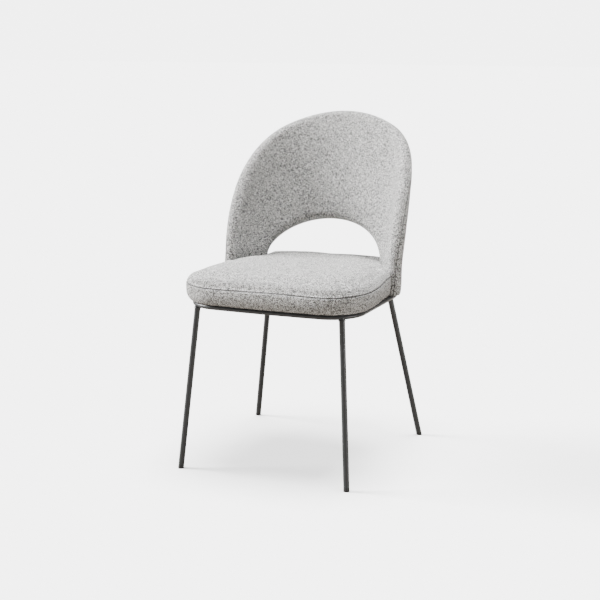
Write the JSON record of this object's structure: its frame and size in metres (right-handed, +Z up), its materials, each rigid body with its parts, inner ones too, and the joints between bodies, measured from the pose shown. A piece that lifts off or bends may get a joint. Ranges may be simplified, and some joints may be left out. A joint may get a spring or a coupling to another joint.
{
  "type": "dining chair",
  "caption": "Upholstered dining chair with a slim round-bar frame, splayed tube legs, a padded seat and a curved, reclined padded back with an arched opening.",
  "frame": {"origin": "on the floor, at the middle of the chair's width and depth", "axes": "+Z up, -Y to the front of the chair, +X to the left of a person sitting in it"},
  "size_m": [0.4922, 0.5805, 0.85],
  "materials": {
    "frame_paint": "satin powder coat",
    "glide_plastic": "matte",
    "plywood": "raw",
    "foam": "open-cell foam",
    "woven_cover": "melange weave",
    "dust_cloth": "non-woven",
    "fastener_steel": "zinc plated"
  },
  "bodies": {
    "root": {"seat_ring": "frame_paint", "leg_front_left": "frame_paint", "leg_front_right": "frame_paint", "leg_rear_left": "frame_paint", "leg_rear_right": "frame_paint", "glide_front_left": "glide_plastic", "glide_front_right": "glide_plastic", "glide_rear_left": "glide_plastic", "glide_rear_right": "glide_plastic", "cross_bar_front": "frame_paint", "cross_bar_rear": "frame_paint", "back_bracket_left": "frame_paint", "back_bracket_right": "frame_paint", "seat_board": "plywood", "seat_foam": "foam", "seat_cover_top": "woven_cover", "seat_cover_band": "woven_cover", "seat_dust_cover": "dust_cloth", "seat_tee_nuts": "fastener_steel", "seat_screws": "fastener_steel", "seat_staples": "fastener_steel", "back_board": "plywood", "back_foam_inner": "foam", "back_foam_outer": "foam", "back_cover_inner": "woven_cover", "back_cover_outer": "woven_cover", "back_tee_nuts": "fastener_steel", "back_bolts": "fastener_steel"}
  },
  "joints": []
}
